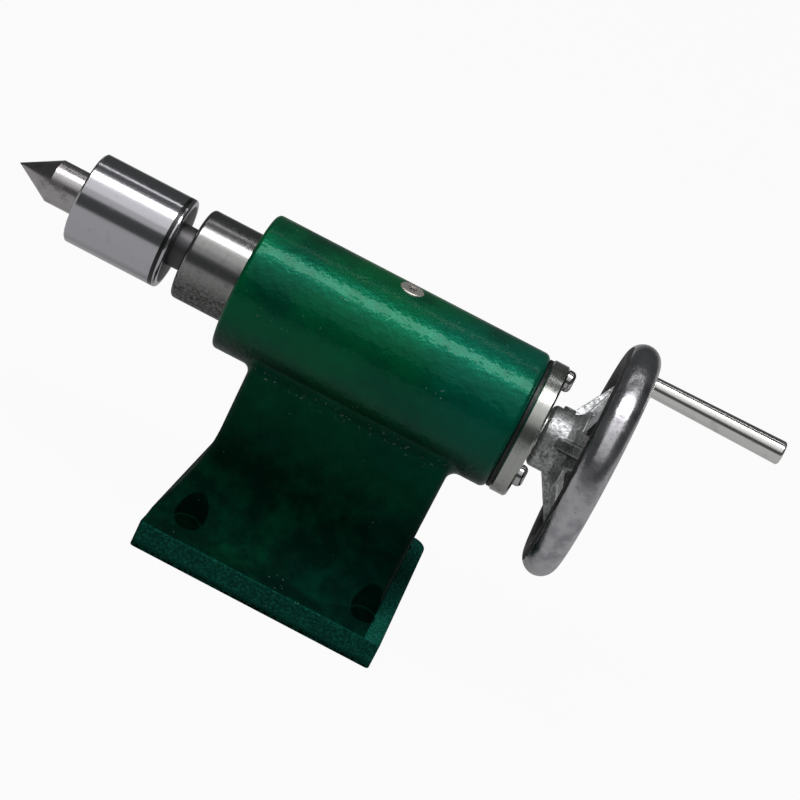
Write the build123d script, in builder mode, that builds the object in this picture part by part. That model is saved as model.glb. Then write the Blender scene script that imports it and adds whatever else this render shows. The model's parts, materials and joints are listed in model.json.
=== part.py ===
from build123d import *
from math import cos, radians, sin, tan
import os

os.makedirs("parts", exist_ok=True)

# A lathe tailstock on a flanged foot, with a rotating centre in its quill. X runs along the
# spindle axis, the point at -X and the handwheel at +X. Z is up, and the origin is the centre
# of the foot's underside. Lengths are in millimetres, angles in degrees. An angle about the
# spindle axis is counted from +Y towards +Z.

# Fits, all radial
running_fit = 0.05
seat_fit = 0.02
clear_fit = 0.5
chamfer_small = 0.6

# Foot and pedestal of the casting
centre_height = 101.0
foot_length = 105.0
foot_front = -49.0
foot_back = 45.0
foot_front_taper = 5.0
foot_rear_taper = 1.0
foot_thickness = 12.0
foot_front_corner = 1.5
foot_back_corner = 6.0
foot_edge = 1.2
bolt_centre_x = 2.0
bolt_spacing_x = 78.0
bolt_spacing_y = 68.0
bolt_hole_diameter = 10.6
bolt_seat_diameter = 12.6
bolt_seat_height = 20.0
neck_thickness = 46.0
neck_front_inset = 8.9
neck_rear_inset = 7.5
flare_base = 10.0
flank_flare_top = 40.0
flank_toe = 45.0
ramp_flare_top = 51.0
ramp_overrun = 1.0
neck_fillet = 3.0
crease_fillet = 4.0

# Barrel of the casting
barrel_diameter = 58.0
barrel_length = 120.0
barrel_front_edge = 2.0
barrel_rear_edge = 3.0

# Quill and its key
quill_diameter = 38.0
quill_stick_out = 23.5
quill_edge = 1.8
quill_extend = 22.0
quill_retract = 16.0
keyway_width = 5.0
keyway_depth = 2.5
keyway_spare = 2.0
key_screw_x = -15.0
key_screw_diameter = 8.0
key_screw_recess = 1.0
key_screw_tail = 21.0
key_dog_gap = 0.3
key_screw_socket = 4.0

# Number 2 Morse taper
taper_diameter = 17.78
taper_length = 64.0
taper_rate = 0.04995

# Leadscrew and its nut
screw_diameter = 16.0
screw_relief_diameter = 11.4
screw_relief_length = 3.5
nut_diameter = 24.0
nut_body_length = 19.0
nut_flange_diameter = 34.0
nut_flange_thickness = 3.0
nut_screw_circle = 29.0
nut_screw_diameter = 3.0
nut_screw_length = 10.0
nut_screw_count = 3
stop_gap = 0.5
screw_tip_taper = 2.5
collar_diameter = 30.0
collar_thickness = 4.0
thrust_washer_thickness = 3.0
journal_diameter = 14.0
shaft_diameter = 12.0
shaft_end_diameter = 8.0
shaft_end_spare = 2.0

# Rear bearing cap
gasket_thickness = 1.3
gasket_diameter = 55.0
cap_diameter = 56.4
cap_thickness = 7.2
cap_edge = 0.8
cap_spigot_length = 6.0
cap_screw_circle = 48.0
cap_screw_diameter = 5.0
cap_screw_length = 16.0
cap_screw_head_diameter = 8.8
cap_screw_head_height = 3.2
cap_screw_head_round = 2.0
cap_screw_socket = 3.0
cap_screw_angles = (84, 204, 324)
screw_hole_spare = 2.0

# Ball oiler
oiler_x = 0.0
oiler_diameter = 10.0
oiler_length = 9.8
oiler_proud = 0.3
oiler_lip = 1.0
oiler_mouth_diameter = 4.0
oiler_cavity_diameter = 5.7
oiler_floor = 0.8
oiler_ball_diameter = 5.0
oiler_outlet_diameter = 3.0
spring_wire_diameter = 0.5
spring_coil_diameter = 3.6
spring_turns = 4

# Rotating centre
neck_gap = 6.7
head_diameter = 38.0
head_length = 40.3
head_front_edge = 0.8
head_rear_edge = 1.3
head_rear_lip = 1.4
seal_ring_width = 1.7
seal_ring_depth = 1.2
point_diameter = 18.0
point_stick_out = 13.8
point_angle = 60.0
head_bore_diameter = 32.0
front_ring_width = 3.5
front_ring_gap = 0.6
roller_diameter = 4.4
roller_length = 11.0
roller_count = 12
bearing_width = 14.0
cage_wall = 1.0
cage_rim = 1.2
centre_washer_thickness = 4.0
tail_diameter = 12.0
bush_diameter = 20.0
bush_length = 12.0
clip_width = 1.0
clip_gap = 0.2
clip_tail = 1.0
clip_opening = 5.0
clip_groove_depth = 0.6
clip_diameter = 15.0

# Handwheel
hub_washer_thickness = 1.0
hub_washer_diameter = 22.0
hub_diameter = 26.0
hub_length = 14.5
hub_edge = 1.2
rim_diameter = 100.0
rim_section_diameter = 14.0
rim_lead = 22.5
spoke_angles = (36, 156, 276)
spoke_hub_width = 17.0
spoke_rim_width = 10.5
spoke_thickness = 3.2
spoke_rib_width = 4.4
spoke_rib_setback = 7.0
spoke_rib_at_rim = 2.5
spoke_rib_bite = 2.0
spoke_face_setback = 10.0
spoke_root_radius = 6.5
spoke_face_lead = 13.0
wheel_key_width = 4.0
wheel_key_length = 10.0
wheel_key_seat = 2.5
hub_screw_angle = 70.0
hub_screw_diameter = 5.0
hub_screw_proud = 1.2
end_washer_diameter = 18.0
end_washer_thickness = 1.6
end_nut_across_flats = 13.0
end_nut_height = 6.5

# Crank handle
handle_root_diameter = 8.4
handle_end_diameter = 10.0
handle_length = 60.0
handle_gap = 0.3
handle_edge = 1.2
handle_pin_diameter = 5.0
handle_pin_head_diameter = 6.8
handle_pin_head_height = 2.0
handle_pin_bite = 9.0
handle_slot_width = 1.2

# Stations along the axis
neck_front = -foot_length / 2 + neck_front_inset
neck_rear = foot_length / 2 - neck_rear_inset
ramp_toe = -foot_length / 2 - ramp_overrun
foot_depth = foot_back - foot_front
barrel_front = -barrel_length / 2
barrel_rear = barrel_length / 2
quill_front = barrel_front - quill_stick_out
spigot_face = barrel_rear - cap_spigot_length
collar_rear = spigot_face - thrust_washer_thickness
collar_front = collar_rear - collar_thickness
nut_rear = collar_front - stop_gap - quill_retract
quill_rear = nut_rear - nut_flange_thickness
nut_front = quill_rear - nut_body_length
cap_front = barrel_rear + gasket_thickness
cap_rear = cap_front + cap_thickness
hub_front = cap_rear + hub_washer_thickness
hub_rear = hub_front + hub_length
rim_x = hub_front + rim_lead
spoke_face_at_hub = hub_front + spoke_face_setback
spoke_rib_at_hub = hub_front + spoke_rib_setback
end_nut_front = hub_rear + end_washer_thickness
taper_small_end = quill_front + taper_length
screw_tip = taper_small_end + quill_retract + stop_gap
head_rear = quill_front - neck_gap
head_front = head_rear - head_length
point_shoulder = head_front - point_stick_out
point_tip = point_shoulder - point_diameter / 2 / tan(radians(point_angle / 2))

seal_ring_rear = head_rear - head_rear_lip
seal_ring_front = seal_ring_rear - seal_ring_width
bearing_front = head_front + front_ring_width
roller_front = bearing_front + (bearing_width - roller_length) / 2
thrust_step = bearing_front + bearing_width + centre_washer_thickness
bush_end = thrust_step + bush_length
clip_front = bush_end + clip_gap
tail_end = clip_front + clip_width + clip_tail
clip_room_end = tail_end + clear_fit
shaft_end = end_nut_front + end_nut_height + shaft_end_spare
wheel_key_x = (hub_front + hub_rear) / 2 - shaft_end_spare / 2
handle_start = rim_x + rim_section_diameter / 2 + handle_gap
handle_end = handle_start + handle_length

# Heights of the oiler
oiler_top = centre_height + barrel_diameter / 2 + oiler_proud
oiler_base = oiler_top - oiler_length
oiler_lip_base = oiler_top - oiler_lip
oiler_seat_drop = (oiler_ball_diameter**2 - oiler_mouth_diameter**2) ** 0.5 / 2
oiler_ball_height = oiler_lip_base - running_fit - oiler_seat_drop
spring_contact = (oiler_ball_diameter + spring_wire_diameter) / 2
spring_drop = (spring_contact**2 - (spring_coil_diameter / 2) ** 2) ** 0.5
spring_base = oiler_base + oiler_floor + spring_wire_diameter / 2
spring_height = oiler_ball_height - spring_drop - seat_fit - spring_base

# Radii and depths that several pieces share
journal_radius = journal_diameter / 2
cap_hole_depth = cap_screw_length - cap_thickness - gasket_thickness + screw_hole_spare
cap_screw_socket_depth = cap_screw_head_height * 0.6
keyway_floor = quill_diameter / 2 - keyway_depth
head_bore_radius = head_bore_diameter / 2
bush_radius = bush_diameter / 2
clip_radius = clip_diameter / 2
roller_circle_radius = point_diameter / 2 + running_fit + roller_diameter / 2
wheel_key_floor = shaft_diameter / 2 - wheel_key_seat
wheel_key_top = wheel_key_floor + wheel_key_width

# The keyway is as long as the quill's travel needs, counted from the key screw
keyway_front = -quill_retract - keyway_width / 2 - keyway_spare
keyway_rear = quill_extend + keyway_width / 2 + keyway_spare
bore_radius = quill_diameter / 2 + running_fit
rim_centre_radius = (rim_diameter - rim_section_diameter) / 2
spoke_rib_end_radius = rim_centre_radius - rim_section_diameter / 2 + spoke_rib_bite
spoke_span = ((rim_centre_radius - spoke_root_radius) ** 2 + spoke_face_lead**2) ** 0.5
taper_radius = taper_diameter / 2
taper_small_radius = taper_radius - taper_length * taper_rate / 2
taper_neck_radius = taper_radius + neck_gap * taper_rate / 2

spindle_axis = Axis((0, 0, centre_height), (1, 0, 0))
side = Plane((0, 0, centre_height), x_dir=(1, 0, 0), z_dir=(0, -1, 0))


def cross_plane(x):
    """Plane across the spindle axis at station x, its own x along +Y and its own y up."""
    return Plane((x, 0, centre_height), x_dir=(0, 1, 0), z_dir=(1, 0, 0))


def radial_plane(angle):
    """Plane through the spindle axis, its own x along +X and its own y outwards at the angle."""
    turn = radians(angle)
    return Plane((0, 0, centre_height), x_dir=(1, 0, 0), z_dir=(0, -sin(turn), cos(turn)))


def spoke_plane(angle):
    """Plane of a spoke's front face, its own x outwards along the spoke and its own z forward."""
    spoke = radial_plane(angle)
    root = spoke.from_local_coords((spoke_face_at_hub, spoke_root_radius, 0))
    run = spoke.from_local_coords((spoke_face_at_hub + spoke_face_lead, rim_centre_radius, 0)) - root
    return Plane(root, x_dir=run, z_dir=spoke.z_dir.cross(run))


def handle_plane(x):
    """Plane across the crank handle's axis at station x."""
    angle = spoke_angles[0]
    y, z = polar_point(rim_centre_radius, angle)
    return Plane((x, y, centre_height + z), x_dir=(0, 1, 0), z_dir=(1, 0, 0))


def half_section(points):
    """Half section of a turned piece, from (x, radius) points, as a face on the side plane."""
    with BuildSketch(side) as section:
        with BuildLine():
            Polyline(*points, close=True)
        make_face()
    return section.sketch


def polar_point(radius, angle):
    """Point at a radius and an angle about the spindle axis, in a cross plane's own units."""
    return (radius * cos(radians(angle)), radius * sin(radians(angle)))


def finish(piece, name):
    """Label a finished piece and write it."""
    piece.part.label = name
    export_step(piece.part, "parts/" + name + ".step")


front_end_plane = Plane((0, foot_front, 0), x_dir=(1, 0, 0), z_dir=(-foot_front_taper, -foot_depth, 0))
key_plane = Plane((key_screw_x, 0, centre_height), x_dir=(1, 0, 0), z_dir=(0, 1, 0))
key_slot_plane = radial_plane(hub_screw_angle)
hub_screw_plane = Plane((wheel_key_x, 0, centre_height), x_dir=(1, 0, 0), z_dir=key_slot_plane.y_dir)

# Casting: foot, flared pedestal and barrel in one piece

with BuildSketch(Plane.YZ.offset(neck_rear)) as flank_section:
    with BuildLine():
        Line((0, flare_base), (flank_toe, flare_base))
        TangentArc((neck_thickness / 2, flank_flare_top), (flank_toe, flare_base), tangent=(0, -1))
        Line((neck_thickness / 2, flank_flare_top), (neck_thickness / 2, centre_height))
        Line((neck_thickness / 2, centre_height), (0, centre_height))
        mirror(about=Plane.YZ)
    make_face()

with BuildSketch(front_end_plane) as front_end_section:
    with BuildLine():
        Line((foot_length / 2, flare_base), (ramp_toe, flare_base))
        TangentArc((neck_front, ramp_flare_top), (ramp_toe, flare_base), tangent=(0, -1))
        Line((neck_front, ramp_flare_top), (neck_front, centre_height))
        Line((neck_front, centre_height), (foot_length / 2, centre_height))
        Line((foot_length / 2, centre_height), (foot_length / 2, flare_base))
    make_face()

with BuildSketch() as foot_outline:
    with BuildLine():
        Polyline(
            (-foot_length / 2, foot_front),
            (foot_length / 2, foot_front),
            (foot_length / 2 - foot_rear_taper, foot_back),
            (-foot_length / 2 + foot_front_taper, foot_back),
            close=True,
        )
    make_face()

with BuildPart() as pedestal:
    extrude(flank_section.sketch, amount=ramp_toe - neck_rear)
    extrude(front_end_section.sketch, amount=foot_depth, both=True, mode=Mode.INTERSECT)
    neck_corners = edges().filter_by(Axis.Z).filter_by_position(Axis.Z, flank_flare_top, centre_height)
    fillet(neck_corners, neck_fillet)
    extrude(foot_outline.sketch, amount=centre_height, mode=Mode.INTERSECT)

with BuildPart() as housing:
    extrude(foot_outline.sketch, amount=foot_thickness)
    foot_corners = edges().filter_by(Axis.Z).group_by(Axis.Y)
    fillet(foot_corners[0], foot_front_corner)
    fillet(foot_corners[-1], foot_back_corner)
    foot_rims = faces().sort_by(Axis.Z)[-1].edges().sort_by(Axis.X)[1:]
    fillet(foot_rims, foot_edge)
    add(pedestal.part)
    with BuildSketch(cross_plane(barrel_front)):
        Circle(barrel_diameter / 2)
    extrude(amount=barrel_length)
    fillet(edges().filter_by(GeomType.CIRCLE).sort_by(Axis.X)[0], barrel_front_edge)
    fillet(edges().filter_by(GeomType.CIRCLE).sort_by(Axis.X)[-1], barrel_rear_edge)
    barrel_belly = centre_height - barrel_diameter / 2
    neck_top = centre_height - barrel_diameter / 4
    creases = edges().filter_by(Axis.X).filter_by_position(Axis.Z, barrel_belly, neck_top)
    fillet(creases, crease_fillet)
    with BuildSketch(cross_plane(barrel_front)):
        Circle(bore_radius)
    extrude(amount=barrel_length, mode=Mode.SUBTRACT)
    with BuildSketch():
        with Locations((bolt_centre_x, 0)):
            with GridLocations(bolt_spacing_x, bolt_spacing_y, 2, 2):
                Circle(bolt_hole_diameter / 2)
    extrude(amount=foot_thickness, mode=Mode.SUBTRACT)
    with BuildSketch(Plane.XY.offset(foot_thickness)):
        with Locations((bolt_centre_x, 0)):
            with GridLocations(bolt_spacing_x, bolt_spacing_y, 2, 2):
                Circle(bolt_seat_diameter / 2)
    extrude(amount=bolt_seat_height, mode=Mode.SUBTRACT)
    with BuildSketch(cross_plane(barrel_rear)):
        for angle in cap_screw_angles:
            with Locations(polar_point(cap_screw_circle / 2, angle)):
                Circle(cap_screw_diameter / 2 + seat_fit)
    extrude(amount=-cap_hole_depth, mode=Mode.SUBTRACT)
    with BuildSketch(Plane.XY.offset(oiler_base)):
        with Locations((oiler_x, 0)):
            Circle(oiler_diameter / 2 + seat_fit)
    extrude(amount=oiler_length, mode=Mode.SUBTRACT)
    with BuildSketch(Plane.XY.offset(centre_height)):
        with Locations((oiler_x, 0)):
            Circle(oiler_outlet_diameter / 2)
    extrude(amount=oiler_base - centre_height, mode=Mode.SUBTRACT)
    with BuildSketch(key_plane):
        Circle(key_screw_diameter / 2 + seat_fit)
    extrude(amount=barrel_diameter, mode=Mode.SUBTRACT)
finish(housing, "housing")

# Rear bearing cap with its gasket, screws and thrust washer

with BuildPart() as cap_gasket:
    with BuildSketch(cross_plane(barrel_rear)):
        Circle(gasket_diameter / 2)
        Circle(bore_radius, mode=Mode.SUBTRACT)
        for angle in cap_screw_angles:
            with Locations(polar_point(cap_screw_circle / 2, angle)):
                Circle(cap_screw_diameter / 2 + seat_fit, mode=Mode.SUBTRACT)
    extrude(amount=gasket_thickness)
finish(cap_gasket, "cap_gasket")

with BuildPart() as bearing_cap:
    revolve(
        half_section(
            [
                (spigot_face, journal_radius + running_fit),
                (cap_rear, journal_radius + running_fit),
                (cap_rear, cap_diameter / 2),
                (cap_front, cap_diameter / 2),
                (cap_front, bore_radius - seat_fit),
                (spigot_face, bore_radius - seat_fit),
            ]
        ),
        axis=spindle_axis,
    )
    cap_rims = edges().filter_by(GeomType.CIRCLE).group_by(SortBy.RADIUS)[-1]
    chamfer(cap_rims, cap_edge)
    with BuildSketch(cross_plane(cap_rear)):
        for angle in cap_screw_angles:
            with Locations(polar_point(cap_screw_circle / 2, angle)):
                Circle(cap_screw_diameter / 2 + seat_fit)
    extrude(amount=-cap_thickness, mode=Mode.SUBTRACT)
finish(bearing_cap, "bearing_cap")

with BuildPart() as cap_screws:
    with BuildSketch(cross_plane(cap_rear)):
        for angle in cap_screw_angles:
            with Locations(polar_point(cap_screw_circle / 2, angle)):
                Circle(cap_screw_head_diameter / 2)
    extrude(amount=cap_screw_head_height)
    crowns = edges().filter_by(GeomType.CIRCLE).group_by(Axis.X)[-1]
    fillet(crowns, cap_screw_head_round)
    with BuildSketch(cross_plane(cap_rear)):
        for angle in cap_screw_angles:
            with Locations(polar_point(cap_screw_circle / 2, angle)):
                Circle(cap_screw_diameter / 2)
    extrude(amount=-cap_screw_length)
    with BuildSketch(cross_plane(cap_rear + cap_screw_head_height)):
        for angle in cap_screw_angles:
            with Locations(polar_point(cap_screw_circle / 2, angle)):
                RegularPolygon(cap_screw_socket / 2, 6, major_radius=False)
    extrude(amount=-cap_screw_socket_depth, mode=Mode.SUBTRACT)
finish(cap_screws, "cap_screws")

with BuildPart() as thrust_washer:
    with BuildSketch(cross_plane(spigot_face)):
        Circle(collar_diameter / 2)
        Circle(journal_radius + running_fit, mode=Mode.SUBTRACT)
    extrude(amount=-thrust_washer_thickness)
finish(thrust_washer, "thrust_washer")

# Key screw, a dog-pointed set screw that rides in the quill's keyway

with BuildPart() as key_screw:
    with BuildSketch(key_plane.offset(key_screw_tail)):
        Circle(key_screw_diameter / 2)
    extrude(amount=barrel_diameter / 2 - key_screw_recess - key_screw_tail)
    with BuildSketch(key_plane.offset(keyway_floor + key_dog_gap)):
        Circle(keyway_width / 2 - running_fit)
    extrude(amount=key_screw_tail - keyway_floor - key_dog_gap)
    with BuildSketch(key_plane.offset(barrel_diameter / 2 - key_screw_recess)):
        RegularPolygon(key_screw_socket / 2, 6, major_radius=False)
    extrude(amount=-key_screw_socket, mode=Mode.SUBTRACT)
finish(key_screw, "key_screw")

# Ball oiler on the crown of the barrel

with BuildPart() as oiler_body:
    with BuildSketch(Plane.XY.offset(oiler_base)):
        with Locations((oiler_x, 0)):
            Circle(oiler_diameter / 2)
    extrude(amount=oiler_top - oiler_base)
    chamfer(edges().group_by(Axis.Z)[-1], oiler_proud)
    with BuildSketch(Plane.XY.offset(oiler_base)):
        with Locations((oiler_x, 0)):
            Circle(oiler_outlet_diameter / 2)
    extrude(amount=oiler_floor, mode=Mode.SUBTRACT)
    with BuildSketch(Plane.XY.offset(oiler_base + oiler_floor)):
        with Locations((oiler_x, 0)):
            Circle(oiler_cavity_diameter / 2)
    extrude(amount=oiler_lip_base - oiler_base - oiler_floor, mode=Mode.SUBTRACT)
    with BuildSketch(Plane.XY.offset(oiler_lip_base)):
        with Locations((oiler_x, 0)):
            Circle(oiler_mouth_diameter / 2)
    extrude(amount=oiler_lip, mode=Mode.SUBTRACT)
finish(oiler_body, "oiler_body")

with BuildPart() as oiler_ball:
    with Locations((oiler_x, 0, oiler_ball_height)):
        Sphere(oiler_ball_diameter / 2)
finish(oiler_ball, "oiler_ball")

with BuildPart() as oiler_spring:
    with BuildLine(Plane.XY.offset(spring_base)):
        coil = Helix(spring_height / spring_turns, spring_height, spring_coil_diameter / 2)
    with BuildSketch(Plane(origin=coil @ 0, z_dir=coil % 0)):
        Circle(spring_wire_diameter / 2)
    sweep(path=coil, is_frenet=True)
finish(oiler_spring, "oiler_spring")

# Quill, its nut and the screws that hold the nut

with BuildPart() as quill:
    revolve(
        half_section(
            [
                (quill_front, taper_radius + seat_fit),
                (taper_small_end, taper_small_radius + seat_fit),
                (taper_small_end + clear_fit, screw_diameter / 2 + clear_fit),
                (nut_front, screw_diameter / 2 + clear_fit),
                (nut_front, nut_diameter / 2 + seat_fit),
                (quill_rear, nut_diameter / 2 + seat_fit),
                (quill_rear, quill_diameter / 2),
                (quill_front, quill_diameter / 2),
            ]
        ),
        axis=spindle_axis,
    )
    chamfer_rims = edges().filter_by(GeomType.CIRCLE).group_by(SortBy.RADIUS)[-1]
    fillet(chamfer_rims.sort_by(Axis.X)[0], quill_edge)
    with BuildSketch(key_plane.offset(keyway_floor)):
        with BuildLine():
            Polyline(
                (keyway_front, keyway_width / 2),
                (keyway_rear, keyway_width / 2),
                (keyway_rear, -keyway_width / 2),
                (keyway_front, -keyway_width / 2),
                close=True,
            )
        make_face()
        fillet(vertices(), keyway_width / 2 - running_fit)
    extrude(amount=quill_diameter / 2, mode=Mode.SUBTRACT)
    with BuildSketch(cross_plane(quill_rear)):
        with PolarLocations(nut_screw_circle / 2, nut_screw_count):
            Circle(nut_screw_diameter / 2 + seat_fit)
    extrude(amount=-nut_screw_length, mode=Mode.SUBTRACT)
finish(quill, "quill")

with BuildPart() as leadscrew_nut:
    revolve(
        half_section(
            [
                (nut_front, screw_diameter / 2 + running_fit),
                (nut_rear, screw_diameter / 2 + running_fit),
                (nut_rear, nut_flange_diameter / 2),
                (quill_rear, nut_flange_diameter / 2),
                (quill_rear, nut_diameter / 2),
                (nut_front, nut_diameter / 2),
            ]
        ),
        axis=spindle_axis,
    )
    with BuildSketch(cross_plane(quill_rear)):
        with PolarLocations(nut_screw_circle / 2, nut_screw_count):
            Circle(nut_screw_diameter / 2 + seat_fit)
    extrude(amount=nut_flange_thickness, mode=Mode.SUBTRACT)
    with BuildSketch(cross_plane(nut_rear)):
        with PolarLocations(nut_screw_circle / 2, nut_screw_count):
            Circle(nut_screw_diameter + seat_fit)
    extrude(amount=-nut_screw_diameter / 2, taper=45, mode=Mode.SUBTRACT)
finish(leadscrew_nut, "leadscrew_nut")

with BuildPart() as nut_screws:
    with BuildSketch(cross_plane(nut_rear)):
        with PolarLocations(nut_screw_circle / 2, nut_screw_count):
            Circle(nut_screw_diameter)
    extrude(amount=-nut_screw_diameter / 2, taper=45)
    with BuildSketch(cross_plane(nut_rear)):
        with PolarLocations(nut_screw_circle / 2, nut_screw_count):
            Circle(nut_screw_diameter / 2)
    extrude(amount=-nut_screw_length)
finish(nut_screws, "nut_screws")

# Leadscrew, turned in one piece with its thrust collar

with BuildPart() as leadscrew:
    revolve(
        half_section(
            [
                (screw_tip, 0),
                (screw_tip, screw_relief_diameter / 2),
                (screw_tip + screw_tip_taper, screw_diameter / 2),
                (collar_front - screw_relief_length, screw_diameter / 2),
                (collar_front - screw_relief_length, screw_relief_diameter / 2),
                (collar_front, screw_relief_diameter / 2),
                (collar_front, collar_diameter / 2),
                (collar_rear, collar_diameter / 2),
                (collar_rear, journal_radius),
                (hub_front, journal_radius),
                (hub_front, shaft_diameter / 2),
                (hub_rear - shaft_end_spare, shaft_diameter / 2),
                (hub_rear - shaft_end_spare, shaft_end_diameter / 2),
                (shaft_end, shaft_end_diameter / 2),
                (shaft_end, 0),
            ]
        ),
        axis=spindle_axis,
    )
    chamfer(edges().filter_by(GeomType.CIRCLE).sort_by(Axis.X)[-1], chamfer_small)
    with BuildSketch(key_slot_plane):
        with Locations((wheel_key_x, wheel_key_floor + wheel_key_width / 2)):
            Rectangle(wheel_key_length, wheel_key_width)
    extrude(amount=wheel_key_width / 2, both=True, mode=Mode.SUBTRACT)
finish(leadscrew, "leadscrew")

with BuildPart() as wheel_key:
    with BuildSketch(key_slot_plane):
        with Locations((wheel_key_x, wheel_key_floor + wheel_key_width / 2)):
            Rectangle(wheel_key_length - seat_fit, wheel_key_width)
    extrude(amount=wheel_key_width / 2 - seat_fit, both=True)
finish(wheel_key, "wheel_key")

# Handwheel with a round rim and three dished spokes of tee section

with BuildPart() as hub_washer:
    with BuildSketch(cross_plane(cap_rear)):
        Circle(hub_washer_diameter / 2)
        Circle(journal_radius + running_fit, mode=Mode.SUBTRACT)
    extrude(amount=hub_washer_thickness)
finish(hub_washer, "hub_washer")

with BuildPart() as handwheel:
    with BuildSketch(cross_plane(hub_front)):
        Circle(hub_diameter / 2)
    extrude(amount=hub_length)
    chamfer(edges().filter_by(GeomType.CIRCLE), hub_edge)
    for angle in spoke_angles:
        with BuildSketch(spoke_plane(angle)):
            with BuildLine():
                Polyline(
                    (0, -spoke_hub_width / 2),
                    (spoke_span, -spoke_rim_width / 2),
                    (spoke_span, spoke_rim_width / 2),
                    (0, spoke_hub_width / 2),
                    close=True,
                )
            make_face()
        extrude(amount=-spoke_thickness)
        with BuildSketch(radial_plane(angle)):
            with BuildLine():
                Polyline(
                    (spoke_rib_at_hub, spoke_root_radius),
                    (spoke_rib_at_hub, hub_diameter / 2),
                    (rim_x - spoke_rib_at_rim, spoke_rib_end_radius),
                    (rim_x, spoke_rib_end_radius),
                    (spoke_face_at_hub, spoke_root_radius),
                    close=True,
                )
            make_face()
        extrude(amount=spoke_rib_width / 2, both=True)
    with BuildSketch(side):
        with Locations((rim_x, rim_centre_radius)):
            Circle(rim_section_diameter / 2)
    revolve(axis=spindle_axis)
    with BuildSketch(cross_plane(hub_front)):
        Circle(shaft_diameter / 2 + seat_fit)
    extrude(amount=rim_x - hub_front, mode=Mode.SUBTRACT)
    with BuildSketch(cross_plane(hub_rear)):
        Circle(end_washer_diameter / 2 + clear_fit)
    extrude(amount=rim_x - hub_rear, mode=Mode.SUBTRACT)
    with BuildSketch(key_slot_plane):
        with Locations(((hub_front + hub_rear) / 2, wheel_key_top / 2)):
            Rectangle(hub_length, wheel_key_top)
    extrude(amount=wheel_key_width / 2, both=True, mode=Mode.SUBTRACT)
    with BuildSketch(hub_screw_plane):
        Circle(hub_screw_diameter / 2 + seat_fit)
    extrude(amount=hub_diameter, mode=Mode.SUBTRACT)
    with BuildSketch(handle_plane(rim_x - handle_pin_bite / 2)):
        Circle(handle_pin_diameter / 2 + seat_fit)
    extrude(amount=handle_pin_bite / 2 + rim_section_diameter, mode=Mode.SUBTRACT)
finish(handwheel, "handwheel")

with BuildPart() as hub_set_screw:
    with BuildSketch(hub_screw_plane.offset(wheel_key_top)):
        Circle(hub_screw_diameter / 2)
    extrude(amount=hub_diameter / 2 + hub_screw_proud - wheel_key_top)
    chamfer(edges().filter_by(GeomType.CIRCLE), chamfer_small / 2)
    with BuildSketch(hub_screw_plane.offset(hub_diameter / 2 + hub_screw_proud)):
        RegularPolygon(hub_screw_diameter / 4, 6, major_radius=False)
    extrude(amount=-hub_screw_diameter / 2, mode=Mode.SUBTRACT)
finish(hub_set_screw, "hub_set_screw")

with BuildPart() as end_washer:
    with BuildSketch(cross_plane(hub_rear)):
        Circle(end_washer_diameter / 2)
        Circle(shaft_end_diameter / 2 + seat_fit, mode=Mode.SUBTRACT)
    extrude(amount=end_washer_thickness)
finish(end_washer, "end_washer")

with BuildPart() as end_nut:
    with BuildSketch(cross_plane(end_nut_front)):
        RegularPolygon(end_nut_across_flats / 2, 6, major_radius=False)
    extrude(amount=end_nut_height)
    revolve(
        half_section(
            [
                (end_nut_front, 0),
                (end_nut_front, end_nut_across_flats / 2 + chamfer_small),
                (end_nut_front + end_nut_height - chamfer_small, end_nut_across_flats / 2 + chamfer_small),
                (end_nut_front + end_nut_height, end_nut_across_flats / 2 - chamfer_small / 2),
                (end_nut_front + end_nut_height, 0),
            ]
        ),
        axis=spindle_axis,
        mode=Mode.INTERSECT,
    )
    with BuildSketch(cross_plane(end_nut_front)):
        Circle(shaft_end_diameter / 2 + seat_fit)
    extrude(amount=end_nut_height, mode=Mode.SUBTRACT)
finish(end_nut, "end_nut")

# Revolving crank handle on its headed pin

with BuildPart() as handle_pin:
    with BuildSketch(handle_plane(rim_x - handle_pin_bite / 2)):
        Circle(handle_pin_diameter / 2)
    extrude(amount=handle_end - rim_x + handle_pin_bite / 2 - handle_edge / 2)
    with BuildSketch(handle_plane(handle_end - handle_edge / 2)):
        Circle(handle_pin_head_diameter / 2)
    extrude(amount=-handle_pin_head_height)
    with BuildSketch(handle_plane(handle_end - handle_edge / 2)):
        Rectangle(handle_pin_head_diameter, handle_slot_width)
    extrude(amount=-handle_pin_head_height / 2, mode=Mode.SUBTRACT)
finish(handle_pin, "handle_pin")

with BuildPart() as handle_grip:
    with BuildSketch(handle_plane(handle_start)):
        Circle(handle_root_diameter / 2)
    with BuildSketch(handle_plane(handle_end)):
        Circle(handle_end_diameter / 2)
    loft()
    fillet(edges().filter_by(GeomType.CIRCLE).sort_by(Axis.X)[-1], handle_edge)
    with BuildSketch(handle_plane(handle_start)):
        Circle(handle_pin_diameter / 2 + running_fit)
    extrude(amount=handle_length, mode=Mode.SUBTRACT)
    with BuildSketch(handle_plane(handle_end)):
        Circle(handle_pin_head_diameter / 2 + running_fit)
    extrude(amount=-handle_edge / 2 - handle_pin_head_height - running_fit, mode=Mode.SUBTRACT)
finish(handle_grip, "handle_grip")

# Rotating centre: head and taper shank in one piece, then what it carries

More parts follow.
